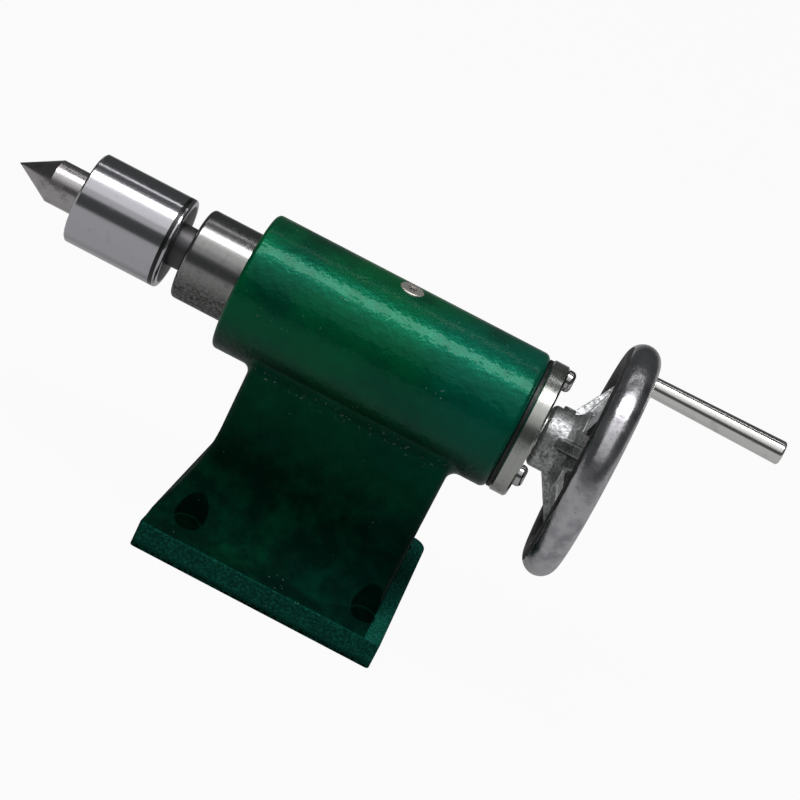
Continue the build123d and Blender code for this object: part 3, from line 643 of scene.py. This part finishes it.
@dataclass(frozen=True)
class DarkPolymer:
    """Oiled sealing paper or nitrile rubber.

    The eye sees a nearly black, matt face with a fine grain and oily patches.
    """

    name: str
    tint: str
    grey: str
    roughness: float

    def material(self) -> bpy.types.Material:
        """Make the seal's material.

        Returns:
            The material.
        """
        bench = NodeBench(self.name)
        grain = bench.patches(0.8, low=0.4, high=0.8)
        bloom = bench.patches(1.1, low=0.4, high=0.8, top=0.5)
        colour = bench.add("Mix", {FACTOR: bloom, BASE: self.tint, OVER: self.grey}, **COLOURS)
        oily = self.roughness * 0.6
        rough = bench.patches(5, low=0.35, high=0.65, bottom=oily, top=self.roughness)
        normal = bench.add("Bump", {"Height": grain, "Distance": 0.03 * MM})
        return bench.close(Base_Color=colour, Roughness=rough, IOR=1.5, Normal=normal)


@dataclass
class SubAssembly:
    """What every sub-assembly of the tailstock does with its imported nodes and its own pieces."""

    frame: dict[str, object]

    def dress(self, finish: bpy.types.Material, *nodes: str) -> None:
        """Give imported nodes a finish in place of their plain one.

        Args:
            finish: the finish.
            nodes: the nodes' names.
        """
        for node in nodes:
            for place in self.frame["nodes"][node].material_slots:
                place.material = finish
            LOG.info("%s: %s in %s", type(self).__name__, node, finish.name)

    def piece(
        self,
        name: str,
        shape: bmesh.types.BMesh,
        body: str,
        slot: str,
        finish: bpy.types.Material,
    ) -> bpy.types.Object:
        """Turn a finished bmesh into a piece that moves with a body.

        Args:
            name: the piece's name.
            shape: its bmesh, which is freed.
            body: the body it rides on.
            slot: not used.
            finish: its finish.

        Returns:
            The piece.
        """
        for face in shape.faces:
            face.smooth = True
        mesh = bpy.data.meshes.new(name)
        shape.to_mesh(mesh)
        shape.free()
        mesh.materials.append(finish)
        made = bpy.data.objects.new(name, mesh)
        bpy.context.scene.collection.objects.link(made)
        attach(made, body)
        LOG.info("%s: made %s with %d faces", type(self).__name__, name, len(mesh.polygons))
        return made


@dataclass
class Casting(SubAssembly):
    """Barrel, pedestal and foot in one painted casting, with the screw that keys the quill."""

    def build(self) -> None:
        """Dress the casting and its key screw."""
        self.dress(MachineEnamel().material(), "housing")
        self.dress(BlackenedSteel("blackened_key_screw").material(), "key_screw")


@dataclass
class Oiler(SubAssembly):
    """Ball oiler in the top of the barrel, whose coil spring gives when the ball is pressed."""

    wire: float = 0.5 * MM
    coil: float = 3.6 * MM
    turns: int = 4
    travel: float = 0.8 * MM
    wire_sides: int = 12
    turn_steps: int = 32

    def spring(self, finish: bpy.types.Material) -> None:
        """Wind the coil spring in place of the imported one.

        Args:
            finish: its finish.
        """
        low, high = (Vector(corner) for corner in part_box("oiler_spring"))
        middle = (low + high) / 2
        steps = self.turn_steps * self.turns
        shape = bmesh.new()
        start = Matrix.Translation((middle.x + self.coil / 2, middle.y, low.z + self.wire / 2))
        bmesh.ops.create_circle(
            shape,
            segments=self.wire_sides,
            radius=self.wire / 2,
            matrix=start @ Matrix.Rotation(pi / 2, 4, "X"),
        )
        bmesh.ops.spin(
            shape,
            geom=shape.edges[:],
            cent=(middle.x, middle.y, low.z),
            axis=(0.0, 0.0, 1.0),
            dvec=(0.0, 0.0, (high.z - low.z - self.wire) / steps),
            angle=tau * self.turns,
            steps=steps,
        )
        bmesh.ops.holes_fill(shape, edges=[edge for edge in shape.edges if edge.is_boundary])
        bmesh.ops.recalc_face_normals(shape, faces=shape.faces)
        wound = self.piece("oiler_coil", shape, "base", "turned_steel", finish)
        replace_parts(wound, "oiler_spring")
        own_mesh(wound)

    def build(self) -> None:
        """Dress the cup and its ball, and make the spring."""
        cup = TurnedMetal(
            "nickel_plated_oiler",
            "#dedad2",
            "#6a645c",
            roughness=0.48,
            anisotropy=0.0,
            stain_share=0.4,
            stain_size=2.5,
        )
        wire = TurnedMetal(
            "spring_steel_wire", "#a4a29e", "#4f4c48", roughness=0.3, anisotropy=0.0
        )
        ball = TurnedMetal(
            "oiled_bearing_ball",
            "#c8c6c4",
            "#5b3a30",
            roughness=0.12,
            anisotropy=0.0,
            stain_share=0.6,
            stain_size=1.5,
        )
        self.dress(cup.material(), "oiler_body")
        self.spring(wire.material())
        self.dress(ball.material(), "oiler_ball")


@dataclass
class RearCap(SubAssembly):
    """Turned cap that closes the barrel's rear, on a black gasket, with its domed screws."""

    def build(self) -> None:
        """Dress the cap, gasket, screws and thrust washer."""
        cap = TurnedMetal(
            "satin_turned_cap",
            "#bcbeb9",
            "#4c4b49",
            roughness=0.20,
            stain_share=0.45,
            stain_size=9.0,
        )
        gasket = DarkPolymer("black_gasket_paper", "#050606", "#131514", roughness=0.6)
        screws = TurnedMetal(
            "plated_cap_screws",
            "#c3c3c4",
            "#3c3a3a",
            roughness=0.16,
            ring_mark=0.0,
            anisotropy=0.0,
        )
        self.dress(cap.material(), "bearing_cap")
        self.dress(gasket.material(), "cap_gasket")
        self.dress(screws.material(), "cap_screws")
        self.dress(Bronze("bronze_thrust_washer").material(), "thrust_washer")


@dataclass
class Quill(SubAssembly):
    """Ground quill with the bronze nut that draws it in and out."""

    def build(self) -> None:
        """Dress the quill, its nut and the nut's screws."""
        sleeve = TurnedMetal(
            "ground_quill_steel",
            "#a3a3a2",
            "#2b2a29",
            roughness=0.19,
            ring_pitch=0.35,
            ring_mark=0.2,
            stain_share=0.3,
            underside=0.9,
        )
        self.dress(sleeve.material(), "quill")
        self.dress(Bronze("bronze_leadscrew_nut").material(), "leadscrew_nut")
        self.dress(BlackenedSteel("blackened_nut_screws").material(), "nut_screws")


@dataclass
class Leadscrew(SubAssembly):
    """Leadscrew, with the washers, key and nut that hold the handwheel on its threaded end."""

    end_thread_pitch: float = 1.25
    """Pitch in millimetres."""
    end_thread_start: float = 85.0 * MM

    def build(self) -> None:
        """Dress the screw and its small parts."""
        screw = TurnedMetal(
            "turned_leadscrew_steel",
            "#a9a7a3",
            "#5c5650",
            roughness=0.28,
            thread_pitch=self.end_thread_pitch,
            thread_start=self.end_thread_start,
        )
        small = TurnedMetal(
            "zinc_plated_fixings",
            "#c9cac6",
            "#5f5c55",
            roughness=0.24,
            anisotropy=0.2,
            stain_share=0.6,
            stain_size=3.0,
        )
        self.dress(screw.material(), "leadscrew")
        self.dress(small.material(), "hub_washer", "wheel_key", "end_washer", "end_nut")


@dataclass
class RotatingCentre(SubAssembly):
    """Rotating centre: a ground body on a taper, and a hardened point that turns on rollers."""

    shaded_radius: float = 16.6 * MM
    # Radius inside which shade is painted, on the shank and on the middle of the head's back.
    """Radius inside which old oil stays, on the shank and on the middle of the head's back."""

    def build(self) -> None:
        """Dress the body, point, seals and bearings."""
        body = TurnedMetal(
            "ground_centre_body",
            "#cfced4",
            "#2e2b2b",
            roughness=0.15,
            ring_mark=0.03,
            anisotropy=0.3,
            stain_share=0.14,
            underside=0.06,
            shaded_core=self.shaded_radius,
        )
        point = TurnedMetal(
            "ground_tool_steel_point",
            "#c4bfc0",
            "#403c3c",
            roughness=0.21,
            ring_pitch=0.7,
            ring_mark=0.15,
            anisotropy=0.6,
            stain_share=0.4,
        )
        hard = TurnedMetal(
            "hardened_bearing_steel", "#b5b4b6", "#6d6768", roughness=0.12, ring_mark=0.05
        )
        bronze = Bronze("bronze_bearing_parts")
        black = BlackenedSteel(
            "blackened_centre_rings", bright="#242325", dark_and_shade="#101010", roughness=0.34
        )
        rubber = DarkPolymer("nitrile_seal_rubber", "#080808", "#1a1a1a", roughness=0.35)
        self.dress(body.material(), "centre_body")
        self.dress(point.material(), "centre_point")
        self.dress(hard.material(), "centre_bearing_ring", "centre_rollers")
        self.dress(bronze.material(), "centre_bush", "centre_cage", "centre_thrust_washer")
        self.dress(black.material(), "centre_front_ring", "centre_clip")
        self.dress(rubber.material(), "centre_seal_ring")


@dataclass
class Handwheel(SubAssembly):
    """Cast three-spoke handwheel: a rough spider whose spokes run into a buffed rim."""

    station: float = 92.0 * MM
    ring: float = RING_RADIUS
    section: float = 6.98 * MM
    skin: float = 0.08 * MM
    """How far outside the rim's section the casting's own rim is still taken away."""
    dip: float = 0.5 * MM
    """How far the spokes' ends run into the rim."""
    grain: float = 0.5 * MM
    smoothing: int = 3
    merge: float = 1e-6
    root_steps: int = 72
    rim_sides: int = 48
    rim_steps: int = 240
    root: tuple[tuple[float, float], ...] = (
        (78.6, 12.6),
        (79.5, 13.4),
        (82.0, 15.0),
        (83.7, 16.6),
        (83.7, 10.5),
        (78.6, 10.5),
    )
    """Outline of the flared root under the spokes: millimetres along the spindle and from it."""

    def from_ring(self, place: Vector) -> Vector:
        """Step from the rim's centre line to a place given from the wheel's centre."""
        return place - Vector((0.0, place.y, place.z)).normalized() * self.ring

    def casting(self) -> bpy.types.Mesh:
        """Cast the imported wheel's shape again, with a flared root and soft fillets.

        Returns:
            The casting's mesh, rim and all.
        """
        shape = bmesh.new()
        shape.from_mesh(self.frame["nodes"]["handwheel"].data)
        bmesh.ops.remove_doubles(shape, verts=shape.verts, dist=self.merge)
        corners = [
            shape.verts.new((along * MM, 0.0, AXIS_HEIGHT + out * MM)) for along, out in self.root
        ]
        outline = shape.faces.new(corners)
        bmesh.ops.spin(
            shape,
            geom=[*outline.verts, *outline.edges],
            cent=(0.0, 0.0, AXIS_HEIGHT),
            axis=(1.0, 0.0, 0.0),
            angle=tau,
            steps=self.root_steps,
            use_merge=True,
        )
        bmesh.ops.delete(shape, geom=[outline], context="FACES_ONLY")
        mesh = bpy.data.meshes.new("spider_pattern")
        shape.to_mesh(mesh)
        shape.free()
        pattern = bpy.data.objects.new("spider_pattern", mesh)
        bpy.context.scene.collection.objects.link(pattern)
        sand = pattern.modifiers.new("sand", "REMESH")
        sand.mode = "VOXEL"
        sand.voxel_size = self.grain
        soft = pattern.modifiers.new("fillets", "SMOOTH")
        soft.factor = 0.5
        soft.iterations = self.smoothing
        ready = pattern.evaluated_get(bpy.context.evaluated_depsgraph_get())
        cast = bpy.data.meshes.new_from_object(ready)
        bpy.data.objects.remove(pattern)
        return cast

    def spider(self, finish: bpy.types.Material) -> bpy.types.Object:
        """Make the hub and spokes: the casting without its rim's skin.

        Args:
            finish: its finish.

        Returns:
            The piece.
        """
        shape = bmesh.new()
        shape.from_mesh(self.casting())
        centre = Vector((self.station, 0.0, AXIS_HEIGHT))
        reach = self.section + self.skin
        skin = [vert for vert in shape.verts if self.from_ring(vert.co - centre).length < reach]
        bmesh.ops.delete(shape, geom=skin, context="VERTS")
        for vert in (vert for vert in shape.verts if vert.is_boundary):
            away = self.from_ring(vert.co - centre)
            vert.co -= away * (1.0 - (self.section - self.dip) / away.length)
        return self.piece("handwheel_spider", shape, "handwheel", "chrome_plate", finish)

    def rim(self, finish: bpy.types.Material) -> bpy.types.Object:
        """Spin the round rim about the spindle axis.

        Args:
            finish: its finish.

        Returns:
            The piece.
        """
        shape = bmesh.new()
        top = Matrix.Translation((self.station, 0.0, AXIS_HEIGHT + self.ring))
        bmesh.ops.create_circle(
            shape,
            segments=self.rim_sides,
            radius=self.section,
            matrix=top @ Matrix.Rotation(pi / 2, 4, "X"),
        )
        bmesh.ops.spin(
            shape,
            geom=shape.edges[:],
            cent=(self.station, 0.0, AXIS_HEIGHT),
            axis=(1.0, 0.0, 0.0),
            angle=tau,
            steps=self.rim_steps,
            use_merge=True,
        )
        bmesh.ops.recalc_face_normals(shape, faces=shape.faces)
        return self.piece("handwheel_rim", shape, "handwheel", "chrome_plate", finish)

    def build(self) -> None:
        """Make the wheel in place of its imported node, and dress the screw in its hub."""
        cast = CastMetal("tumbled_cast_iron", "#d3d5d6", "#2d2f30", roughness=0.46).material()
        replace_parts(self.spider(cast), "handwheel")
        self.rim(PolishedRim(self.station, self.ring, self.section).material())
        worn = CastMetal(
            "worn_hub_screw",
            "#77787a",
            "#3c3d40",
            roughness=0.38,
            edge="#a8a9aa",
            grain=0.6,
            depth=0.02,
            metallic=0.9,
        )
        self.dress(worn.material(), "hub_set_screw")


@dataclass
class CrankHandle(SubAssembly):
    """Plated handle that turns freely on its pin in the rim."""

    def build(self) -> None:
        """Dress the grip and its pin."""
        grip = TurnedMetal(
            "chrome_plated_grip",
            "#f3f3f0",
            "#6d6c6b",
            roughness=0.15,
            ring_pitch=1.2,
            ring_depth=0.0,
            ring_mark=0.0,
            anisotropy=0.0,
            stain_share=0.3,
            stain_size=7.0,
            lay=Lay.CRANK,
        )
        self.dress(grip.material(), "handle_grip")
        self.dress(BlackenedSteel("blackened_handle_pin").material(), "handle_pin")


@dataclass(frozen=True)
class Lamp:
    """One soft rectangular lamp on an arc over the object, its long side along the spindle.

    Its angle is in degrees above the horizon in front, so 90 is overhead and 180 behind. Its power
    is in watts and its lengths are in metres.
    """

    name: str
    height_angle: float
    width: float
    power: float
    shift: float = 0.0
    length: float = 4.0
    distance: float = 3.0

    def hang(self) -> None:
        """Create the lamp and turn it to the spindle axis."""
        data = bpy.data.lights.new(self.name, "AREA")
        data.shape = "RECTANGLE"
        data.size, data.size_y = self.length, self.width
        data.energy = self.power
        lamp = bpy.data.objects.new(self.name, data)
        bpy.context.scene.collection.objects.link(lamp)
        turn = radians(self.height_angle)
        ahead, rise = self.distance * cos(turn), self.distance * sin(turn)
        lamp.location = (self.shift, -ahead, AXIS_HEIGHT + rise)
        lamp.rotation_euler = (pi / 2 - turn, 0.0, 0.0)


@dataclass
class Studio:
    """Floor, lamps and camera of a plain product shot."""

    eye: tuple[float, float, float] = (0.03783, -0.85486, 0.48147)
    azimuth: float = 1.528
    elevation: float = 24.821
    roll: float = 26.901
    lens: float = 108.0
    paper_colour: str = "#969696"
    paper_white: float = 0.95
    paper_gloss: float = 0.22
    floor_size: float = 4.0
    sky: str = "#434545"
    lamps: tuple[Lamp, ...] = (
        Lamp("key", height_angle=83.0, width=0.80, power=74.0, shift=0.2),
        Lamp("front", height_angle=60.0, width=1.50, power=14.0),
        Lamp("low", height_angle=38.0, width=0.90, power=5.0),
        Lamp("rear", height_angle=118.5, width=0.12, power=4.0),
    )

    def camera(self) -> None:
        """Create the camera and make it the scene's."""
        data = bpy.data.cameras.new("camera")
        data.lens = self.lens
        data.sensor_width = 36.0
        data.clip_start = 0.01
        data.clip_end = 20.0
        shot = bpy.data.objects.new("camera", data)
        bpy.context.scene.collection.objects.link(shot)
        turn, rise = radians(self.azimuth), radians(self.elevation)
        ahead = Vector((-sin(turn) * cos(rise), cos(turn) * cos(rise), -sin(rise)))
        aim = ahead.to_track_quat("-Z", "Y").to_matrix().to_4x4()
        tilt = Matrix.Rotation(radians(self.roll), 4, "Z")
        shot.matrix_world = Matrix.Translation(self.eye) @ aim @ tilt
        bpy.context.scene.camera = shot

    def paper(self) -> bpy.types.Material:
        """Make the floor's matt paper, which shows white and keeps the object's shadow.

        Returns:
            The material.
        """
        bench = NodeBench("studio_paper")
        matt = bench.add("BsdfDiffuse", {"Color": self.paper_colour, "Roughness": 0.0})
        white = bench.add("Emission", {"Color": "#ffffff", "Strength": 1.0})
        ray = bench.add("LightPath").outputs
        straight = {0: ray["Is Camera Ray"], 1: ray["Is Transmission Ray"]}
        clear = bench.add("Math", straight, **GREATER)
        # Gloss sees the paper at part strength, as metal in a room sees a table that is less than
        # white.
        part = bench.add("Math", {0: ray["Is Glossy Ray"], 1: self.paper_gloss}, **TIMES)
        seen = bench.add("Math", {0: clear, 1: part}, **GREATER)
        share = bench.add("Math", {0: seen, 1: self.paper_white}, **TIMES)
        mixed = bench.add("MixShader", {0: share, 1: matt, 2: white})
        bench.add("OutputMaterial", {0: mixed})
        return bench.material

    def build(self) -> None:
        """Make floor, world, lamps and camera."""
        scene = bpy.context.scene
        scene.view_settings.view_transform = "Standard"
        world = bpy.data.worlds.new("studio")
        scene.world = world
        world.use_nodes = True
        world.node_tree.nodes["Background"].inputs[0].default_value = linear(self.sky)
        shape = bmesh.new()
        bmesh.ops.create_grid(shape, x_segments=1, y_segments=1, size=self.floor_size)
        mesh = bpy.data.meshes.new("floor")
        shape.to_mesh(mesh)
        shape.free()
        floor = bpy.data.objects.new("floor", mesh)
        scene.collection.objects.link(floor)
        mesh.materials.append(self.paper())
        for lamp in self.lamps:
            lamp.hang()
        self.camera()
        LOG.info("studio ready")


def main() -> None:
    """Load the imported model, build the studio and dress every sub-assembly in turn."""
    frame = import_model()
    Studio().build()
    for kind in (Casting, Oiler, RearCap, Quill, Leadscrew, RotatingCentre, Handwheel, CrankHandle):
        kind(frame).build()


if __name__ == "__main__":
    logging.basicConfig(level=logging.INFO)
    main()
